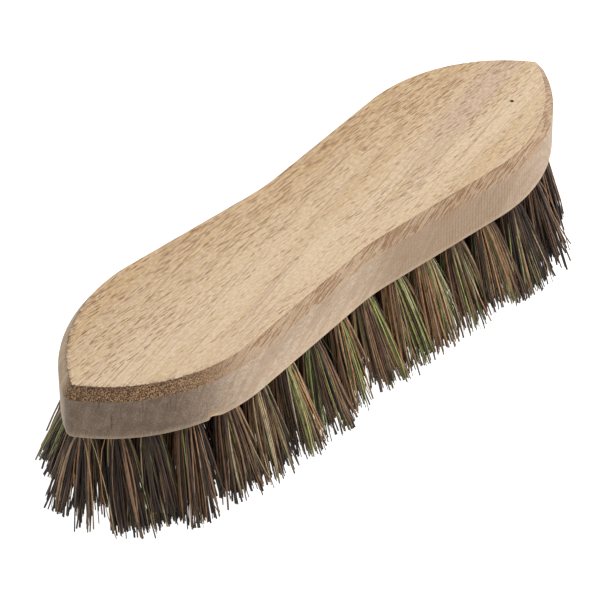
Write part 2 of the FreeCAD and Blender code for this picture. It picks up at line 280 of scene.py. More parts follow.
class Finish:
    """A procedural material, made node by node, whose patterns are sized in millimetres."""

    def __init__(self, name):
        self.material = bpy.data.materials.new(name)
        self.material.use_nodes = True
        self.tree = self.material.node_tree
        self.tree.nodes.clear()

    def node(self, kind, settings=None, sockets=None, output=0):
        """Add a node: first its settings, a ramp's stops among them, then its sockets' values or links."""
        made = self.tree.nodes.new(kind)
        for name, value in (settings or {}).items():
            if name == "stops":
                self.set_stops(made.color_ramp, value)
            else:
                setattr(made, name, value)
        for name, value in (sockets or {}).items():
            if isinstance(value, Signal):
                self.tree.links.new(value.socket, made.inputs[name])
            else:
                made.inputs[name].default_value = value
        return Signal(self, made.outputs[output]) if made.outputs else None

    @staticmethod
    def set_stops(ramp, stops):
        """Give a ramp its stops, each a place and a colour."""
        while len(ramp.elements) < len(stops):
            ramp.elements.new(1)
        for element, (place, value) in zip(ramp.elements, stops):
            element.position = place
            element.color = (*value, 1)

    def math(self, operation, *values):
        """Numbers, fixed or varying, through a Math node."""
        return self.node("ShaderNodeMath", {"operation": operation}, dict(enumerate(values)))

    def attribute(self, name):
        """A number kept on the piece's own mesh."""
        return self.node("ShaderNodeAttribute", {"attribute_name": name}, output="Fac")

    def stretch(self, place, *factors):
        """A place whose coordinates are multiplied by the factors."""
        return self.node("ShaderNodeVectorMath", {"operation": "MULTIPLY"}, {0: place, 1: factors})

    @cached_property
    def place(self):
        """The place on the piece, in millimetres."""
        metres = self.node("ShaderNodeTexCoord", output="Object")
        return self.stretch(metres, 1 / MM, 1 / MM, 1 / MM)

    def axes(self):
        """The place's three coordinates."""
        split = self.node("ShaderNodeSeparateXYZ", sockets={"Vector": self.place}).socket.node
        return [Signal(self, socket) for socket in split.outputs]

    def noise(self, grain, detail=2.0, roughness=0.5, place=None):
        """Noise whose marks are about as long, wide and deep as the grain, on the piece or another place."""
        scaled = self.stretch(place or self.place, *(1 / size for size in grain))
        sockets = {"Vector": scaled, "Scale": 1.0, "Detail": detail, "Roughness": roughness}
        return self.node("ShaderNodeTexNoise", {}, sockets)

    def spots(self, size, detail=2.0, roughness=0.5):
        """Noise whose marks are about as large in every direction."""
        return self.noise((size, size, size), detail, roughness)

    def mix(self, factor, first, second):
        """Two colours, mixed by a factor."""
        first, second = (value if isinstance(value, Signal) else (*value, 1) for value in (first, second))
        sockets = {MIX_FACTOR: factor, MIX_FIRST: first, MIX_SECOND: second}
        return self.node("ShaderNodeMix", {"data_type": "RGBA"}, sockets, MIX_RESULT)

    def paint(self, base, *coats):
        """Lay coats over a base colour in order, each given by its cover, from 0 to 1, and its colour."""
        for cover, coat in coats:
            base = self.mix(cover, base, coat)
        return base

    def bump(self, strength, depth, height):
        """The normal of a surface whose relief is as deep as depth where the height is one."""
        sockets = {"Strength": strength, "Distance": depth, "Height": height}
        return self.node("ShaderNodeBump", {}, sockets)

    def surface(self, **sockets):
        """Close the material with one shader, whose sockets are named with underscores for spaces."""
        named = {name.replace("_", " "): value for name, value in sockets.items()}
        shader = self.node("ShaderNodeBsdfPrincipled", {}, named)
        self.node("ShaderNodeOutputMaterial", {}, {"Surface": shader})
        return self.material


# Meshes

def unit(vectors):
    """Vectors brought to length one along their last axis."""
    return vectors / np.linalg.norm(vectors, axis=-1, keepdims=True)


def smooth_step(low, high, values):
    """0 below low, 1 above high and a cubic rise between them."""
    part = np.clip((values - low) / (high - low), 0, 1)
    return part * part * (3 - 2 * part)


def bell(values):
    """1 at zero, falling off on both sides as exp(-values squared)."""
    return np.exp(-values**2)


def new_piece(name, points, faces, finish, sharp, slot, *nodes):
    """A mesh piece at the origin that stands for CAD nodes, smooth but where it turns more than sharp."""
    mesh = bpy.data.meshes.new(name)
    mesh.from_pydata(points, [], faces)
    mesh.polygons.foreach_set("use_smooth", np.ones(len(mesh.polygons), bool))
    mesh.set_sharp_from_angle(angle=sharp)
    mesh.materials.append(finish)
    piece = bpy.data.objects.new(name, mesh)
    bpy.context.scene.collection.objects.link(piece)
    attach(piece, BODY)
    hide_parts(*nodes)
    return piece


def set_attribute(mesh, name, values):
    """Keep one number for each point of a mesh."""
    layer = mesh.attributes.new(name, "FLOAT", "POINT")
    layer.data.foreach_set("value", np.ascontiguousarray(values, np.float32).ravel())


def grid_faces(columns, closed):
    """Quads between neighbouring rows of a table of point numbers, closed into rings or open."""
    following = np.roll(columns, -1, axis=1) if closed else columns[:, 1:]
    columns = columns if closed else columns[:, :-1]
    quads = np.stack((columns[:-1], following[:-1], following[1:], columns[1:]), axis=-1)
    return quads.reshape(-1, 4)


def fan_faces(hub, rim):
    """Triangles from one point's number to each step along a line of point numbers."""
    return np.stack((np.full(len(rim) - 1, hub), rim[:-1], rim[1:]), axis=-1)


# Tufts

class Tufts:
    """The tufts of one CAD row: where each leaves the stock, where its axis ends, and its spread there.

    A tuft's ring of corners is as wide as it is long, so its middle and radius come from its lowest and
    highest corners. Corners at the tips belong to the tuft whose mouth is nearest across the stock.
    """

    def __init__(self, node):
        mesh = frame["nodes"][node].data
        corners = np.empty(len(mesh.vertices) * 3)
        mesh.vertices.foreach_get("co", corners)
        corners = corners.reshape(-1, 3)
        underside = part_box(STOCK_NODE)[0].z
        tolerance = 0.01 * MM
        mouths = corners[np.abs(corners[:, 2] - underside) < tolerance]
        tips = corners[corners[:, 2] < tolerance]

        count = TUFTS_IN_ROW[node]
        across = np.sort(mouths[:, 1])
        breaks = np.sort(np.argsort(np.diff(across))[len(across) - count:])
        starts = across[np.concatenate(([0], breaks + 1)).astype(int)]
        number = np.searchsorted(starts, mouths[:, 1], side="right") - 1
        self.mouth = self.middles([mouths[number == tuft] for tuft in range(count)])

        nearest = np.argmin(np.abs(tips[:, 1, None] - self.mouth[None, :, 1]), axis=1)
        rings = [tips[nearest == tuft] for tuft in range(count)]
        self.tip = self.middles(rings)
        self.spread = np.array([np.ptp(ring[:, 0]) / 2 for ring in rings])
        self.inward = unit(self.mouth - self.tip)

    @staticmethod
    def middles(rings):
        """Points halfway between the lowest and highest corners of rings."""
        return np.array([(ring.min(0) + ring.max(0)) / 2 for ring in rings])


# Wooden stock

# How finely the stock is meshed
OUTLINE_STEP = 1.0 * MM
OUTLINE_TURN = math.radians(9)
ARC_POINTS = 400
EDGE_STEPS = 4
EDGE_SUPPORT = 0.12 * MM
WALL_STEP = 1.5 * MM
TOP_RUNGS = 10
HOLE_SIDES = 20
STOCK_SHARP = math.radians(40)

# Flat strips that belong to the walls' mesh: of the underside, and of the top as a share of the tip round
UNDERSIDE_STRIP = 1.4 * MM
TOP_STRIP_SHARE = 0.8

# The nick's start and slope back as shares of its length, its height in depths, and the share it is set in
NICK_RISE_SHARES = (0, 0.12)
NICK_FALL_SHARES = (0.1, 1)
NICK_HEIGHT = 2.5
NICK_INSET_SHARE = 0.5

# Reach of the marks for the finish: round the chamfer's slope, up to the side's, and from the rim and foot
CHAMFER_SLOPE_REACH = 0.12
SIDE_SLOPES = (0.3, 0.9)
RIM_REACH = 0.5 * MM
FOOT_REACH = 0.7 * MM

# How dark the +X end's end grain is laid on, as a share of the -X end's, whose darkness is end grain with
# painted shade
FAR_END_GRAIN_AND_SHADE_SHARE = 0.15


class Plan:
    """The stock's plan outline: arcs round the tips, wings and waist, and straight flanks by the waist."""

    def __init__(self, sizes):
        low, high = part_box(STOCK_NODE)
        half_length, half_width = (high.x - low.x) / 2, (high.y - low.y) / 2
        tip = self.tip_radius = sizes.chamfer_inset + sizes.tip_round
        self.tip_x = half_length - tip
        self.wing_x = half_length - sizes.wing_to_point
        reach = sizes.wing_to_point - tip
        self.wing_radius = (reach**2 + half_width**2 - tip**2) / (2 * (half_width - tip))
        self.wing_y = half_width - self.wing_radius
        self.waist_radius = sizes.waist_radius
        self.waist_y = half_width - sizes.waist_depth + sizes.waist_radius
        self.tip_angle = math.atan2(-self.wing_y, self.tip_x - self.wing_x)
        across = self.waist_y - self.wing_y
        lean = math.acos((self.wing_radius + self.waist_radius) / math.hypot(self.wing_x, across))
        self.flank_angle = math.atan2(across, -self.wing_x) - lean

    def half(self):
        """Points and outward directions along the +Y half, from the +X tip to the -X tip.

        A point is an arc's centre plus its radius times its outward direction (cos a, sin a); the hollow
        waist has a negative radius. The fine line is then walked in even steps of its length over the
        outline's step plus its turning over the outline's turn, so that tight arcs get more points.
        """
        tip, flank = self.tip_angle, self.flank_angle
        arcs = (
            (self.tip_x, 0, self.tip_radius, 0, tip),
            (self.wing_x, self.wing_y, self.wing_radius, tip, flank),
            (0, self.waist_y, -self.waist_radius, flank, math.pi - flank),
            (-self.wing_x, self.wing_y, self.wing_radius, math.pi - flank, math.pi - tip),
            (-self.tip_x, 0, self.tip_radius, math.pi - tip, math.pi),
        )
        angles = np.concatenate([np.linspace(start, end, ARC_POINTS) for *_, start, end in arcs])
        facing = np.stack((np.cos(angles), np.sin(angles)), axis=1)
        centres = np.repeat([arc[:2] for arc in arcs], ARC_POINTS, axis=0)
        points = centres + np.repeat([arc[2] for arc in arcs], ARC_POINTS)[:, None] * facing

        lengths = np.linalg.norm(np.diff(points, axis=0), axis=1)
        walked = np.cumsum(lengths / OUTLINE_STEP + np.abs(np.diff(angles)) / OUTLINE_TURN)
        walked = np.concatenate(([0], walked))
        stops = np.linspace(0, walked[-1], 1 + math.ceil(walked[-1]))
        angles = np.interp(stops, walked, angles)
        points = np.stack([np.interp(stops, walked, values) for values in points.T], axis=1)
        return points, np.stack((np.cos(angles), np.sin(angles)), axis=1)


def rounded_profile(corners, radii):
    """An open profile whose inner corners are rounded, each with a plain supporting strip on either side.

    A corner gives way to an arc tangent to its two sides: its ends lie radius * tan(turn / 2) from the
    corner, and the points between are the two end spokes blended by sines of their shares of the turn.
    """
    corners = np.array(corners)
    profile = [corners[:1]]
    shares = np.linspace(0, 1, EDGE_STEPS + 1)[:, None]
    for before, corner, after, radius in zip(corners, corners[1:], corners[2:], radii):
        arriving, leaving = unit(corner - before), unit(after - corner)
        turn = math.acos(arriving @ leaving)
        reach = radius * math.tan(turn / 2)
        centre = corner + unit(leaving - arriving) * radius / math.cos(turn / 2)
        start, end = corner - arriving * reach - centre, corner + leaving * reach - centre
        curve = (np.sin((1 - shares) * turn) * start + np.sin(shares * turn) * end) / math.sin(turn)
        first, last = centre + start - arriving * EDGE_SUPPORT, centre + end + leaving * EDGE_SUPPORT
        profile += [[first], centre + curve, [last]]
    profile.append(corners[-1:])
    return np.concatenate(profile)


def fill_steps(profile, longest):
    """A profile with every step longer than longest cut into even parts."""
    parts = [profile[:1]]
    for before, after in zip(profile, profile[1:]):
        count = math.ceil(np.linalg.norm(after - before) / longest)
        parts.append(before + (after - before) * np.linspace(0, 1, count + 1)[1:, None])
    return np.concatenate(parts)


class Walls:
    """The stock's walls, from a strip of the underside over the side and the chamfer to a strip of the top.

    The outline is carried up an edge profile: a wall point is the outline's point less the profile's inset
    times its outward direction, at the profile's height. The near side's lower edge is lifted and set in
    where a splinter has come away.
    """

    def __init__(self, sizes):
        self.sizes = sizes
        self.low, self.high = (corner.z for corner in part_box(STOCK_NODE))
        half, facing = Plan(sizes).half()
        self.half_count = len(half)
        outline, self.facing = self.mirrored(half), self.mirrored(facing)
        self.profile = self.edge_profile()

        inset, height = self.profile.T
        self.points = np.empty((len(self.profile), len(outline), 3))
        self.points[:, :, :2] = outline - inset[:, None, None] * self.facing
        self.points[:, :, 2] = height[:, None]
        self.chip = self.nick()
        lift = self.chip * sizes.nick_depth
        self.points[:, :, 2] += lift
        self.points[:, :, :2] -= NICK_INSET_SHARE * lift[:, :, None] * self.facing

    @staticmethod
    def mirrored(half):
        """Pairs along the +Y half, then their mirror images back along the -Y half."""
        return np.concatenate((half, (half * (1, -1))[-2:0:-1]))

    def edge_profile(self):
        """Insets and heights up the wall, from the underside's strip to the top's, with the edges rounded."""
        sizes, low, high = self.sizes, self.low, self.high
        corners = (
            (UNDERSIDE_STRIP, low),
            (0, low),
            (0, high - sizes.chamfer_drop),
            (sizes.chamfer_inset, high),
            (sizes.chamfer_inset + TOP_STRIP_SHARE * sizes.tip_round, high),
        )
        radii = (sizes.lower_round, sizes.edge_round, sizes.edge_round)
        return fill_steps(rounded_profile(corners, radii), WALL_STEP)

    def nick(self):
        """How far each wall point lies in the splintered nick: a steep start, then a slope back."""
        along, across, height = np.moveaxis(self.points, -1, 0)
        share = (along - self.sizes.nick_place) / self.sizes.nick_length
        open_part = smooth_step(*NICK_RISE_SHARES, share) * (1 - smooth_step(*NICK_FALL_SHARES, share))
        low_part = 1 - smooth_step(0, NICK_HEIGHT * self.sizes.nick_depth, height - self.low)
        return open_part * low_part * (across < 0)

    def marks(self):
        """Numbers for the finish at each wall point: how far it is chamfer, side, rim, foot, end grain with
        painted shade, or nick.

        The slope is the rise of the profile's direction: 0 on the flat, 1 on the upright side.
        """
        sizes = self.sizes
        inset, height = self.profile.T
        slope = unit(np.gradient(self.profile, axis=0))[:, 1]
        chamfer_slope = sizes.chamfer_drop / math.hypot(sizes.chamfer_drop, sizes.chamfer_inset)
        from_rim = np.hypot(inset - sizes.chamfer_inset, height - self.high)
        up_the_wall = {
            "chamfer": bell((slope - chamfer_slope) / CHAMFER_SLOPE_REACH),
            "side": smooth_step(*SIDE_SLOPES, slope),
            "rim": bell(from_rim / RIM_REACH),
            "foot": bell((height - self.low) / FOOT_REACH),
        }
        marks = {name: np.repeat(values, len(self.facing)) for name, values in up_the_wall.items()}
        towards_far_end = self.facing[:, 0]
        # Painted shade: the end grain is laid on fully round the -X point and only weakly round the +X point
        end_grain = np.maximum(-towards_far_end, FAR_END_GRAIN_AND_SHADE_SHARE * towards_far_end)
        marks["end_grain"] = np.tile(end_grain, len(self.profile))
        marks["chip"] = self.chip.ravel()
        return marks


def hole_rings(tufts, sizes):
    """Rings of the drilled holes: mouths in the underside and floors square to the holes.

    A ring point is the mouth's middle plus the radius times (cos a, sin a) on two directions square to the
    hole, slid along the hole to the underside or set in by the depth.
    """
    mouth = np.concatenate([row.mouth for row in tufts])[:, None]
    inward = np.concatenate([row.inward for row in tufts])[:, None]
    first = unit(np.cross(inward, (0, 1, 0)))
    second = np.cross(inward, first)
    turn = FULL_TURN * np.arange(HOLE_SIDES)[:, None] / HOLE_SIDES
    ring = sizes.hole_diameter / 2 * (np.cos(turn) * first + np.sin(turn) * second)
    slide = ring[:, :, 2:] / inward[:, :, 2:]
    return mouth + ring - slide * inward, mouth + ring + sizes.hole_depth * inward


def underside_faces(points, ring, mouths):
    """Triangles of the flat underside between its edge ring and the hole mouths, facing down."""
    loops = [ring, *mouths]
    numbers = np.concatenate(loops)
    flat = [Vector(point) for point in points[numbers, :2].tolist()]
    starts = np.cumsum([0] + [len(loop) for loop in loops])
    edges = [
        (first + step, first + (step + 1) % len(loop))
        for first, loop in zip(starts.tolist(), loops)
        for step in range(len(loop))
    ]
    within_edges, tolerance = 1, 1e-9
    triangles = np.array(delaunay_2d_cdt(flat, edges, [], within_edges, tolerance)[2])
    middles = points[numbers[triangles]].mean(axis=1)[:, :2]
    centres = points[mouths].mean(axis=1)[:, :2]
    reach = np.linalg.norm(points[mouths[:, 0], :2] - centres, axis=1)
    gaps = np.linalg.norm(middles[:, None] - centres[None], axis=2)
    wood = np.all(gaps > reach[None], axis=1)
    return numbers[triangles[wood]][:, ::-1]


def stock_mesh(walls, tufts):
    """Points and faces of the stock: its walls, a top of straight rungs, and an underside with drilled holes.

    A rung goes from a point of the far half to its mirror image: a point on it is far (1 - s) + near s.
    """
    last = walls.half_count - 1
    far = np.arange(1, last)
    edge = walls.points[-1]
    run = (np.arange(1, TOP_RUNGS) / TOP_RUNGS)[None, :, None]
    top = edge[far, None] * (1 - run) + edge[-far, None] * run

    parts = (walls.points, top, *hole_rings(tufts, walls.sizes))
    points = np.concatenate([part.reshape(-1, 3) for part in parts])
    numbers = np.split(np.arange(len(points)), np.cumsum([part[..., 0].size for part in parts])[:-1])
    numbers = [group.reshape(part.shape[:2]) for group, part in zip(numbers, parts)]
    wall_numbers, top_numbers, mouths, floors = numbers

    ring = wall_numbers[-1]
    ladder = np.concatenate((ring[far, None], top_numbers, ring[-far, None]), axis=1)
    faces = (
        grid_faces(wall_numbers, closed=True),
        grid_faces(ladder, closed=False)[:, ::-1],
        fan_faces(ring[0], ladder[0, ::-1]),
        fan_faces(ring[last], ladder[-1]),
        underside_faces(points, wall_numbers[0], mouths),
        *(grid_faces(pair, closed=True)[:, ::-1] for pair in np.stack((mouths, floors), axis=1)),
        floors[:, ::-1],
    )
    return points, [face for group in faces for face in group.tolist()]


# Where the wood's marks rise and fall along the stock, in millimetres from its middle
ROSY_RISE = (20, 80)
SAP_RISE, SAP_FALL = (-75, -40), (-20, 12)
HEART_RISE, HEART_FADE = (-15, 22), (32, 80)
CUTTER_RISE, CUTTER_FALL = (0, 25), (60, 90)
# Stain and painted shade on the near chamfer towards the -X point fall away here
END_STAIN_AND_SHADE_FALL = (-75, -45)

# Where the torn wood rises and falls along the stock, in millimetres from the nick's start
TORN_RISE, TORN_FALL = (-2, 0), (2, 7)

# Where marks rise and fall across the stock, in millimetres from its middle
NEAR_BAND_FALL = (-28, -8)
FAR_SIDE_RISE = (-15, 33)
BEHIND_RISE = (0, 6)

# Heights at which marks end or begin, in millimetres from the top face
SAP_TOP = (-17, -7)
TORN_TOP = (-18, -14)
STAINED_RIM = (-0.7, -0.2)

# The rosy heart's middle and half width across the layers, and the cutter lines' pitch, in millimetres
ROSY_LAYER, ROSY_HALF_WIDTH = -16, 6
CUTTER_PITCH = 1.3


class BeechFinish(Finish):
    """Bare beech, made up of its top face, planed sides, cut chamfer and end grain.

    Growth layers lie at a slant: a layer's number is the distance along their tilted normal, so that their
    lines run obliquely over the chamfer and the sides. Flecks lie along the stock.
    """

    def __init__(self, look):
        super().__init__("bare_beech")
        self.look = look
        self.along, self.across, height = self.axes()
        self.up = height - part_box(STOCK_NODE)[1].z / MM
        slant = look.grain_slant
        self.layer = math.cos(slant) * self.across - math.sin(slant) * self.along + look.grain_tilt * self.up
        self.flat = self.node("ShaderNodeCombineXYZ", sockets={"X": self.along, "Y": self.across})
        self.grown = self.node("ShaderNodeCombineXYZ", sockets={"X": self.along, "Y": self.layer})
        self.chamfer = self.attribute("chamfer")
        self.upright = self.attribute("side")
        self.wall = self.upright * (1 - self.chamfer)
        # End grain with painted shade, strongest round the -X point
        self.ends = self.attribute("end_grain").step(0.0, 0.52)
        self.near = self.across.math("LESS_THAN", 0)
        self.far_side = self.across.step(*FAR_SIDE_RISE)

    def layers(self, length, width, detail=2.0, roughness=0.6):
        """Noise drawn out along the growth layers."""
        return self.noise((length, width, 1), detail, roughness, self.grown)

    def dashes(self, place, length, width, cover):
        """Ragged dashes on a place, one in the middle of each stretched cell that the cover reaches.

        Each row of cells drifts along by its own amount, so that the cells don't line up in columns.
        """
        drift = self.noise((300, 1.5 * width, 1), 0, place=place)
        shift = self.node("ShaderNodeCombineXYZ", sockets={"X": 6 * drift})
        cell = self.stretch(place, 1 / length, 1 / width, 0)
        moved = self.node("ShaderNodeVectorMath", {"operation": "ADD"}, {0: cell, 1: shift})
        sockets = {"Vector": moved, "Scale": 1.0}
        cells = self.node("ShaderNodeTexVoronoi", {"voronoi_dimensions": "2D"}, sockets)
        outputs = cells.socket.node.outputs
        own = self.node("ShaderNodeSeparateColor", sockets={"Color": Signal(self, outputs["Color"])})
        from_middle = Signal(self, outputs["Distance"]) + 0.4 * self.noise((0.9, 0.3, 1), place=place)
        return (1 - from_middle.step(0.48, 0.58)) * (cover - own).step(0.0, 0.15)

    @cached_property
    def pores(self):
        """Fine pores along the stock."""
        return self.noise((3.5, 0.4, 0.4), 3, 0.65)

    @cached_property
    def speckle(self):
        """Fine dark specks of the sawn faces."""
        return self.spots(0.5, 1, 0.6).step(0.42, 0.62)

    @cached_property
    def flecks(self):
        """Short dark flecks on the flat faces, in two sizes, denser in crowds and on the far side."""
        crowd = self.noise((40, 8, 8)).step(0.3, 0.7)
        cover = 0.06 + 0.2 * crowd + 0.22 * self.far_side
        dashes = self.dashes(self.flat, 5.0, 0.6, cover).either(self.dashes(self.flat, 3.2, 0.52, cover))
        return dashes * (1 - self.upright)

    @cached_property
    def cutter(self):
        """Upright lines that the cutter left on the sides, in patches."""
        ripple = (self.along * (FULL_TURN / CUTTER_PITCH) + 2 * self.pores).math("SINE").step(0.0, 1.0)
        patch = self.noise((14, 30, 12)).step(0.35, 0.6)
        return ripple * patch * self.along.between(CUTTER_RISE, CUTTER_FALL) * self.wall

    def pin_knot(self):
        """A round spot: 1 in its middle, fading out about its radius."""
        look = self.look
        along = (self.along - look.knot_along / MM) * (MM / look.knot_radius)
        across = (self.across - look.knot_across / MM) * (MM / look.knot_radius)
        return 1 - (along * along + across * across).step(0.6, 1.3)

    def face(self):
        """Pale wood with tan bands, a rosy heart towards +X, thin growth lines, flecks and a pin knot."""
        look, far_side = self.look, self.far_side
        near_band = 1 - self.across.step(*NEAR_BAND_FALL)
        tan_bands = 0.35 * self.layers(140, 9).step(0.45, 0.7) + 0.58 * far_side + 0.2 * near_band
        from_heart = (self.layer - ROSY_LAYER) * (1 / ROSY_HALF_WIDTH)
        rosy_heart = (1 - (from_heart * from_heart).step(0.1, 1.3)) * self.along.step(*ROSY_RISE)
        rosy_layers = self.layers(110, 1.0, 3).step(0.53, 0.63)
        growth_lines = self.layers(80, 0.8).step(0.6, 0.66)
        rosy_streaks = self.noise((9, 0.45, 0.45), 3).step(0.42, 0.7)
        grain = self.noise((1.7, 0.6, 0.6), 2, 0.6)
        return self.paint(
            look.pale,
            (tan_bands, look.tan),
            (0.75 * rosy_heart, look.pink),
            (0.75 * rosy_layers, look.pink),
            (0.45 * growth_lines, look.fleck),
            (0.3 * rosy_streaks, look.pink),
            ((0.32 + 0.28 * far_side) * grain.step(0.5, 0.6), look.tan),
            (0.34 * (1 - grain).step(0.52, 0.62), look.light),
            ((0.68 + 0.3 * far_side) * self.flecks, look.fleck),
            (self.pin_knot(), look.knot),
        )

    def planed_side(self):
        """Greyer wood with layers, pores and specks, pale sap, a brown heart and upright cutter lines."""
        look = self.look
        layers = self.layers(40, 0.9, 3).step(0.46, 0.58)
        sap = self.along.between(SAP_RISE, SAP_FALL) * (1 - self.up.step(*SAP_TOP))
        heart = self.along.step(*HEART_RISE) * (1 - 0.72 * self.along.step(*HEART_FADE))
        return self.paint(
            look.side,
            (0.6 * layers, look.heart),
            (0.75 * self.pores.step(0.48, 0.56), look.heart),
            (0.3 * sap, look.pale),
            (0.8 * heart, look.heart),
            (0.35 * self.speckle, look.fleck),
            (0.8 * self.cutter, look.stroke),
        )

    def cut_chamfer(self):
        """Grain cut across: faint oblique bands, crisp strokes in patches, and stains along the rim."""
        look = self.look
        bands = self.layers(30, 1.2, 3, 0.7).step(0.45, 0.62)
        cover = 0.35 + 0.65 * self.spots(18).step(0.35, 0.6)
        strokes = self.dashes(self.grown, 9.0, 0.6, cover).either(self.dashes(self.grown, 4.0, 0.5, cover))
        # Part stain, part painted shade: the near chamfer is darker towards the -X point
        end_stain_and_shade = (1 - self.along.step(*END_STAIN_AND_SHADE_FALL)) * self.near
        stain = self.spots(16).step(0.46, 0.6) * self.pores.step(0.35, 0.55)
        return self.paint(
            look.cut,
            (0.3 * bands, look.fleck),
            (0.95 * strokes, look.stroke),
            (0.2 * end_stain_and_shade, look.stroke),
            (0.3 * self.speckle, look.fleck),
            (0.8 * stain * self.up.step(*STAINED_RIM), look.fleck),
        )

    def stippled_end(self):
        """Dark end grain, darkened further by painted shade round the -X point, with lighter stipples."""
        return self.paint(self.look.end_grain, (self.spots(0.42, 2, 0.7).step(0.46, 0.6), self.look.stipple))

    def end_cover(self):
        """How far the end grain and its painted shade darken the sides round the points: specks, mottles and
        score lines.
        """
        mottle = self.noise((4, 4, 3), 3).step(0.4, 0.62)
        scored = self.noise((0.45, 40, 9), 1).step(0.64, 0.7)
        return 0.66 + 0.12 * self.speckle + 0.12 * mottle + 0.2 * scored

    def torn_wood(self):
        """Fresh fibres on the lower side beside the nick."""
        from_nick = self.along - self.look.nick_place / MM
        lower = 1 - self.up.step(*TORN_TOP)
        return from_nick.between(TORN_RISE, TORN_FALL) * lower * self.near * self.pores.step(0.4, 0.55)

    def dressed(self):
        """The faces laid over each other, with the pale lower edge and the fresh wood of the nick, end grain
        darkened by painted shade round the -X point, and painted light on the far side of that point's
        chamfer.
        """
        look, wall, chamfer, ends = self.look, self.wall, self.chamfer, self.ends
        behind = self.across.step(*BEHIND_RISE)
        ragged_dark_rim = self.attribute("rim") * self.spots(0.8).step(0.4, 0.6)
        wood = self.paint(
            self.face(),
            (0.92 * wall, self.planed_side()),
            (0.95 * chamfer, self.cut_chamfer()),
            # Painted shade: stippled end grain, the ragged dark rim and the dark end walls, mostly round the
            # -X point and kept off its far side
            (chamfer * ends * (1 - behind), self.stippled_end()),
            # Painted light: the far side of the chamfer round the points is made paler, as it faces away from
            # the key light
            (0.35 * chamfer * ends * behind, look.pale),
            (0.7 * ragged_dark_rim * ends, look.end_grain),
            (wall * ends * self.end_cover() * (1 - 0.75 * behind), look.end_wall_and_shade),
            (0.5 * self.attribute("foot") * wall, look.pale),
            (0.7 * self.torn_wood() * wall, look.tan),
            (self.attribute("chip"), look.pale),
        )
        relief = 0.3 * self.pores - 0.7 * self.flecks - 0.4 * self.cutter - 0.3 * self.speckle * wall
        bump = self.bump(0.4, 0.12 * MM, relief)
        return self.surface(Base_Color=wood, Roughness=0.54 + 0.2 * self.pores, Normal=bump, IOR=1.45)


# Bristles

# Shares of a tuft's radius: how far out clump middles lie, how far tips are drawn in, and where they are held
CLUMP_MIDDLE_SHARE = 0.8
TIP_SHARE = 0.9
FARTHEST_SHARE = 1.1

# The least part of the clumping that a bristle takes
LEAST_PULL_SHARE = 0.4

# Shares of half the brush's length over which its sides pass into its ends, and the -X end's widening across
END_SHARES = (0.72, 0.9)
END_WIDENING = 0.7

# How many times its way outside the box a tip is set back
SET_BACK = 1.6

# Shapes of the beta draws by which clumps and single bristles are cut short, and the clump's share of the cut
CLUMP_CUT = (0.8, 2.2)
OWN_CUT = (0.9, 2.8)
CLUMP_CUT_SHARE = 0.6

# Powers in the bends along a bristle, how far a bow goes each way, and a tip's thickness beside the root's
FLARE_POWER = 0.6
CURL_POWER = 4
BOW_DIRECTIONS = (1, 1, 0.1)
TIP_THICKNESS_SHARE = 0.85
BRISTLE_SHARP = math.radians(75)

# How a stray's reach, bow and thickness compare with another bristle's
STRAY_REACH = 1.5
STRAY_BOW = 2.5
STRAY_THICKNESS_SHARE = 0.6

# Tones: the share taken from clumps, the strays' range, and the range over which lighter fibres get thinner
CLUMP_TONE_SHARE = 0.28
STRAY_TONES = (0.6, 1)
THINNER_TONES = (0.5, 0.75)
THINNING_SHARE = 0.3

# The tone ramp: dark to tan and red browns, then olive and green, and last straw
FIBRE_TONES = (
    (0.00, (0.035, 0.026, 0.022)),
    (0.10, (0.062, 0.041, 0.032)),
    (0.18, (0.096, 0.057, 0.038)),
    (0.34, (0.185, 0.103, 0.060)),
    (0.50, (0.310, 0.178, 0.102)),
    (0.62, (0.390, 0.268, 0.160)),
    (0.70, (0.540, 0.268, 0.110)),
    (0.74, (0.130, 0.130, 0.065)),
    (0.83, (0.290, 0.325, 0.115)),
    (0.91, (0.440, 0.495, 0.165)),
    (0.95, (0.500, 0.365, 0.180)),
    (1.00, (0.560, 0.490, 0.330)),
)
# Dark brown of mottles and tips, also used as painted shade near the roots
FIBRE_DARK_AND_SHADE = (0.022, 0.016, 0.013)


def tuft_ends(sizes, draw, groups):
    """Roots and tips of the bristles of some tufts, in tuft radii from their axes, and their clump numbers.

    Roots lie in a sunflower pattern: sqrt(share) from the axis, turned by the golden angle. A root belongs to
    the nearest of its tuft's clump middles, and its tip is drawn part of the way to where that clump leans,
    then scattered, moved with its tuft and kept near it.
    """
    count = sizes.per_tuft
    number = np.arange(count)
    share = np.sqrt((number + 0.5) / count)
    turn = number * GOLDEN_ANGLE + draw.uniform(0, FULL_TURN, (groups, 1))
    root = np.stack((share * np.cos(turn), share * np.sin(turn)), axis=-1)

    middles = draw.uniform(-CLUMP_MIDDLE_SHARE, CLUMP_MIDDLE_SHARE, (groups, sizes.clumps, 2))
    clump = np.argmin(np.linalg.norm(root[:, :, None] - middles[:, None], axis=-1), axis=-1)
    leaning = middles + draw.normal(0, sizes.clump_lean, middles.shape)
    goal = np.take_along_axis(leaning, clump[:, :, None], axis=1)
    pull = sizes.clumping * draw.uniform(LEAST_PULL_SHARE, 1, (groups, count, 1))
    tip = TIP_SHARE * (root + (goal - root) * pull)
    tip += draw.normal(0, sizes.scatter, tip.shape)
    tip += draw.normal(0, sizes.wander, (groups, 1, 2))
    tip /= np.maximum(1, np.linalg.norm(tip, axis=-1, keepdims=True) / FARTHEST_SHARE)
    return root.reshape(-1, 2), tip.reshape(-1, 2), clump


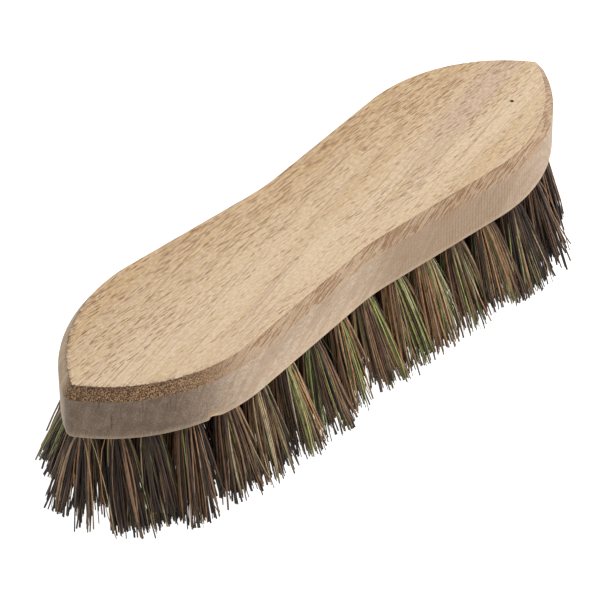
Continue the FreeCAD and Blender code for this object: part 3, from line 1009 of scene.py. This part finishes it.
def fibre_paths(tufts, sizes, draw):
    """Centre lines of a row's bristles, by stations and coordinates, their clump numbers, and the strays.

    Below the mouth a line goes to its tip with a bow of 4 s (1 - s) to any side, a flare of s^0.6 - s
    outwards and a curl of s - s^4. A tip's offset from the tuft's axis is grown to the tuft's spread, and
    widened along the edge so that the tips of neighbouring tufts mingle. The bristles of a clump are cut to
    about one length. Tips beyond the CAD box are set back inside it.
    """
    groups = len(tufts.mouth)
    total = groups * sizes.per_tuft
    tuft = np.repeat(np.arange(groups), sizes.per_tuft)
    root_offset, tip_offset, clump = tuft_ends(sizes, draw, groups)
    stray = draw.random((total, 1)) < sizes.strays

    low, high = (np.array(corner[:2]) for corner in CAD_BOX)
    mouth, tip = tufts.mouth[tuft], tufts.tip[tuft]
    place = mouth[:, :1] / high[0]
    far_end, near_end = smooth_step(*END_SHARES, place), smooth_step(*END_SHARES, -place)
    wider_along = (sizes.mingling - 1) * (1 - far_end - near_end)
    widening = 1 + np.concatenate((wider_along, END_WIDENING * near_end), axis=1)
    reach = tip_offset * tufts.spread[tuft, None] * widening * np.where(stray, STRAY_REACH, 1)
    fan = np.interp(place, PLACE_SHARES, sizes.fan)
    tip[:, :2] = mouth[:, :2] + fan * (tip - mouth)[:, :2] + reach
    low, high = low + sizes.thickest, high - (sizes.thickest + sizes.end_trim, sizes.thickest)
    tip[:, :2] += SET_BACK * (np.maximum(low - tip[:, :2], 0) - np.maximum(tip[:, :2] - high, 0))

    mouth[:, :2] += root_offset * sizes.root_radius
    clump_cut = draw.beta(*CLUMP_CUT, (groups, sizes.clumps))
    clump_cut = np.take_along_axis(clump_cut, clump, axis=1).ravel()
    cut = (1 - CLUMP_CUT_SHARE) * draw.beta(*OWN_CUT, total) + CLUMP_CUT_SHARE * clump_cut
    shorter = sizes.ragged * cut + sizes.thickest / 2
    tip += (mouth - tip) * (shorter / (mouth - tip)[:, 2])[:, None]

    run = np.linspace(0, 1, sizes.stations - 1)[None, :, None]
    side = unit(draw.normal(0, 1, (total, 3)) * BOW_DIRECTIONS)
    bow = side * draw.normal(0, 1, (total, 1)) * sizes.bow * np.where(stray, STRAY_BOW, 1)
    curl = draw.normal(0, sizes.curl, (total, 3)) * (1, 1, 0)
    flare = sizes.flare * np.pad(reach, ((0, 0), (0, 1)))
    bend = bow[:, None] * 4 * run * (1 - run) - curl[:, None] * (run - run**CURL_POWER)
    bend += flare[:, None] * (run**FLARE_POWER - run)
    hanging = mouth[:, None] + (tip - mouth)[:, None] * run + bend
    root = mouth + tufts.inward[tuft] * sizes.root_depth
    paths = np.concatenate((root[:, None], hanging), axis=1)
    return paths, clump.ravel() + sizes.clumps * tuft, stray


def fibre_tones(draw, clump, stray, tone_and_shade_power):
    """Places on the tone ramp: some bristles take their clump's, and strays take one from its upper part.

    All but the strays' are raised to the tone power of their place, which is partly painted shade and light.
    """
    total = len(clump)
    follows = draw.random(total) < CLUMP_TONE_SHARE
    clump_tone = draw.uniform(0, 1, clump.max() + 1)[clump]
    tone = np.where(follows, clump_tone, draw.random(total)) ** tone_and_shade_power
    return np.where(stray[:, 0], draw.uniform(*STRAY_TONES, total), tone)


def fibre_tubes(paths, thickness, sides):
    """Closed tubes round many paths at once.

    A ring point is the path's point plus half the thickness times (cos a, sin a) on two cross directions.
    """
    heading = unit(np.gradient(paths, axis=1))
    off_every_path = (0.3, 1, 0.1)
    first = unit(np.cross(heading, off_every_path))
    second = np.cross(heading, first)
    turn = FULL_TURN * np.arange(sides) / sides
    spokes = np.cos(turn)[:, None] * first[:, :, None] + np.sin(turn)[:, None] * second[:, :, None]
    rings = paths[:, :, None] + thickness[:, :, None, None] / 2 * spokes
    index = np.arange(rings[..., 0].size).reshape(rings.shape[:3])
    quads = np.concatenate([grid_faces(tube, closed=True) for tube in index])
    caps = np.stack((index[:, 0, ::-1], index[:, -1]), axis=1).reshape(-1, sides)
    return rings.reshape(-1, 3), quads.tolist() + caps.tolist()


def fibre_strips(total, stations, sides):
    """Flat layout of the tubes for baking, a pair of numbers for each face corner.

    Each tube has its own upright cell in one of four tiers: the tube is unrolled in the middle of its cell, u
    going round and v along, and its two caps are small polygons at the cell's ends.
    """
    tiers = 4
    margin = np.array((0.1, 0.07))
    cap_radii = (0.35, 0.02)
    lower_cap, upper_cap = (0.5, 0.03), (0.5, 0.97)

    columns = math.ceil(total / tiers)
    cell = np.array((1 / columns, 1 / tiers))
    corner = np.stack((np.arange(total) % columns, np.arange(total) // columns), axis=1) * cell
    along, around = np.mgrid[0:stations - 1, 0:sides]
    unrolled = np.stack((
        np.stack((around, around + 1, around + 1, around), axis=-1) / sides,
        np.stack((along, along, along + 1, along + 1), axis=-1) / (stations - 1),
    ), axis=-1).reshape(-1, 2)
    unrolled = margin + unrolled * (1 - 2 * margin)
    turn = FULL_TURN * np.arange(sides) / sides
    ring = np.stack((np.cos(turn), np.sin(turn)), axis=1) * cap_radii
    caps = np.concatenate((lower_cap + ring[::-1], upper_cap + ring))
    return np.concatenate([(corner[:, None] + part * cell).reshape(-1, 2) for part in (unrolled, caps)])


def bristle_finish():
    """Mixed stiff fibres in the tones of the ramp, mottled, with painted shade near the root, below the
    stock, and darker at the tip.
    """
    fibre = Finish("mixed_fibre")
    along = fibre.attribute("along")
    mottle = fibre.noise((1.2, 1.2, 5), 3, 0.6)
    shade = fibre.paint(
        fibre.node("ShaderNodeValToRGB", {"stops": FIBRE_TONES}, {"Fac": fibre.attribute("tone")}),
        (0.6 * mottle.step(0.42, 0.75), FIBRE_DARK_AND_SHADE),
        # Painted shade: darker towards the roots, under the stock
        (0.6 * (1 - along).step(0.6, 1.0), FIBRE_DARK_AND_SHADE),
        (0.55 * along.step(0.82, 1.0), FIBRE_DARK_AND_SHADE),
    )
    bump = fibre.bump(0.3, 0.05 * MM, fibre.noise((0.25, 0.25, 2.5)))
    rough = 0.46 + 0.25 * mottle
    return fibre.surface(Base_Color=shade, Roughness=rough, Normal=bump, Specular_IOR_Level=0.22)


# Tuft anchors

STEEL_DULL = (0.42, 0.41, 0.40)
STEEL_BRIGHT = (0.56, 0.56, 0.57)


def anchor_finish():
    """Drawn steel wire: fine lines along the wire, with a dull bloom."""
    steel = Finish("drawn_steel")
    lines = steel.noise((2, 2, 0.06))
    bloom = steel.spots(1.5, 3)
    shade = steel.paint(STEEL_DULL, (bloom.step(0.35, 0.7), STEEL_BRIGHT))
    return steel.surface(Base_Color=shade, Roughness=0.25 + 0.2 * lines + 0.15 * bloom, Metallic=1.0)


# Operators

class SCRUB_OT_stock(bpy.types.Operator):
    """Make the wooden stock with its chamfer, tuft holes and grain."""

    bl_idname = "scrub.stock"
    bl_label = "Wooden stock"

    def execute(self, context):
        sizes = context.scene.scrub_stock
        walls = Walls(sizes)
        points, faces = stock_mesh(walls, [Tufts(node) for node in ROW_NODES])
        finish = BeechFinish(sizes).dressed()
        piece = new_piece("beech_stock", points, faces, finish, STOCK_SHARP, "wood", STOCK_NODE)
        for name, values in walls.marks().items():
            set_attribute(piece.data, name, np.pad(values, (0, len(points) - len(values))))
        return {"FINISHED"}


class SCRUB_OT_bristles(bpy.types.Operator):
    """Make the bristles, one piece to each row of tufts across the stock."""

    bl_idname = "scrub.bristles"
    bl_label = "Bristles"

    def execute(self, context):
        sizes = context.scene.scrub_bristles
        finish = bristle_finish()
        for number, node in enumerate(ROW_NODES):
            self.make_row(sizes, finish, number, node)
        return {"FINISHED"}

    def make_row(self, sizes, finish, number, node):
        """Make one row's bristles, with the tone of each and the share of its length at each point."""
        stations, sides = sizes.stations, sizes.sides
        draw = np.random.default_rng(sizes.seed + number)
        paths, clump, stray = fibre_paths(Tufts(node), sizes, draw)
        total = len(paths)
        # Painted shade and light: the tones are darkened or lightened by place along the brush
        tone_and_shade_power = np.interp(paths[:, 0, 0] / CAD_BOX[1][0], PLACE_SHARES, sizes.tone_and_shade_power)
        tone = fibre_tones(draw, clump, stray, tone_and_shade_power)
        thickness = draw.uniform(sizes.thinnest, sizes.thickest, (total, 1))
        thickness *= np.where(stray, STRAY_THICKNESS_SHARE, 1)
        thickness *= 1 - THINNING_SHARE * smooth_step(*THINNER_TONES, tone[:, None])
        taper = np.linspace(1, TIP_THICKNESS_SHARE, stations)
        points, faces = fibre_tubes(paths, thickness * taper, sides)
        name = f"bristles_{number + 1:02d}"
        piece = new_piece(name, points, faces, finish, BRISTLE_SHARP, "bristle", node)
        layout = piece.data.uv_layers.new(name="OFBake")
        layout.uv.foreach_set("vector", fibre_strips(total, stations, sides).astype(np.float32).ravel())
        set_attribute(piece.data, "tone", np.repeat(tone, stations * sides))
        set_attribute(piece.data, "along", np.tile(np.repeat(np.linspace(0, 1, stations), sides), total))


class SCRUB_OT_anchors(bpy.types.Operator):
    """Give the anchor wires their drawn steel finish."""

    bl_idname = "scrub.anchors"
    bl_label = "Tuft anchors"

    def execute(self, context):
        anchors = frame["nodes"][ANCHOR_NODE]
        anchors.data.materials.clear()
        anchors.data.materials.append(anchor_finish())
        return {"FINISHED"}


class SCRUB_OT_stage(bpy.types.Operator):
    """Set up the floor, the soft light and the camera."""

    bl_idname = "scrub.stage"
    bl_label = "Stage"

    def execute(self, context):
        stage = context.scene.scrub_stage
        self.lay_floor(context, stage)
        self.light_sky(context, stage)
        self.hang_light(context, "key", stage.key_place, stage.key_size, stage.key_power)
        self.hang_light(context, "overhead", stage.overhead_place, stage.overhead_size, stage.overhead_power)
        self.place_camera(context, stage)
        return {"FINISHED"}

    def lay_floor(self, context, stage):
        """Lay a square floor under the bristles that glows a little."""
        half, height = stage.floor_size / 2, -stage.floor_gap
        corners = [(x * half, y * half, height) for x, y in ((-1, -1), (1, -1), (1, 1), (-1, 1))]
        mesh = bpy.data.meshes.new("floor")
        mesh.from_pydata(corners, [], [(0, 1, 2, 3)])
        glow = {"Emission_Color": (1, 1, 1, 1), "Emission_Strength": stage.floor_glow}
        finish = Finish("pale_floor").surface(Base_Color=(*stage.floor, 1), Roughness=0.9, **glow)
        mesh.materials.append(finish)
        floor = bpy.data.objects.new("floor", mesh)
        context.scene.collection.objects.link(floor)

    def light_sky(self, context, stage):
        """Light the scene evenly from all round, with plain tones."""
        world = bpy.data.worlds.new("studio")
        world.use_nodes = True
        sky = world.node_tree.nodes["Background"].inputs
        sky["Color"].default_value = (1, 1, 1, 1)
        sky["Strength"].default_value = stage.sky_light
        context.scene.world = world
        context.scene.view_settings.view_transform = "Standard"

    def hang_light(self, context, name, place, size, watts):
        """Hang a square light that faces the origin."""
        light = bpy.data.lights.new(name, "AREA")
        light.size = size
        light.energy = watts
        lamp = bpy.data.objects.new(name, light)
        lamp.location = place
        lamp.rotation_euler = (-Vector(place)).to_track_quat("-Z", "Y").to_euler()
        context.scene.collection.objects.link(lamp)

    def place_camera(self, context, stage):
        """Look at the middle of the top from the azimuth and elevation, then move in the picture plane."""
        turn, rise = stage.azimuth, stage.elevation
        back = Vector((math.sin(turn) * math.cos(rise), -math.cos(turn) * math.cos(rise), math.sin(rise)))
        right = Vector((math.cos(turn), math.sin(turn), 0))
        up = back.cross(right)
        right, up = (
            math.cos(stage.roll) * right + math.sin(stage.roll) * up,
            math.cos(stage.roll) * up - math.sin(stage.roll) * right,
        )
        top = Vector((0, 0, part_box(STOCK_NODE)[1].z))
        place = top + stage.distance * back + stage.across * right + stage.upward * up
        lens = bpy.data.cameras.new("camera")
        lens.lens = stage.lens
        lens.clip_end = stage.sight
        camera = bpy.data.objects.new("camera", lens)
        camera.matrix_world = Matrix.Translation(place) @ Matrix((right, up, back)).transposed().to_4x4()
        context.scene.collection.objects.link(camera)
        context.scene.camera = camera


class SCRUB_PT_panel(bpy.types.Panel):
    """The brush's settings, with a button for each group of pieces."""

    bl_idname = "SCRUB_PT_panel"
    bl_label = "Scrubbing brush"
    bl_space_type = "VIEW_3D"
    bl_region_type = "UI"
    bl_category = "Scrubbing brush"

    def draw(self, context):
        for operator in OPERATORS:
            box = self.layout.box()
            box.operator(operator.bl_idname)
            group = operator.bl_idname.replace(".", "_")
            if group in SETTINGS:
                for name in SETTINGS[group].__annotations__:
                    box.prop(getattr(context.scene, group), name)


SETTINGS = {"scrub_stock": StockSettings, "scrub_bristles": BristleSettings, "scrub_stage": StageSettings}
OPERATORS = (SCRUB_OT_stock, SCRUB_OT_bristles, SCRUB_OT_anchors, SCRUB_OT_stage)
CLASSES = (*SETTINGS.values(), *OPERATORS, SCRUB_PT_panel)


def register():
    """Register the classes, and keep each group of settings on the scene under its name."""
    for item in CLASSES:
        bpy.utils.register_class(item)
    for name, group in SETTINGS.items():
        setattr(bpy.types.Scene, name, PointerProperty(type=group))


def unregister():
    """Undo what register does, in the opposite order."""
    for name in SETTINGS:
        delattr(bpy.types.Scene, name)
    for item in reversed(CLASSES):
        bpy.utils.unregister_class(item)


def main():
    """Make every piece in order."""
    register()
    bpy.ops.scrub.stock()
    bpy.ops.scrub.bristles()
    bpy.ops.scrub.anchors()
    bpy.ops.scrub.stage()


if __name__ == "__main__":
    main()
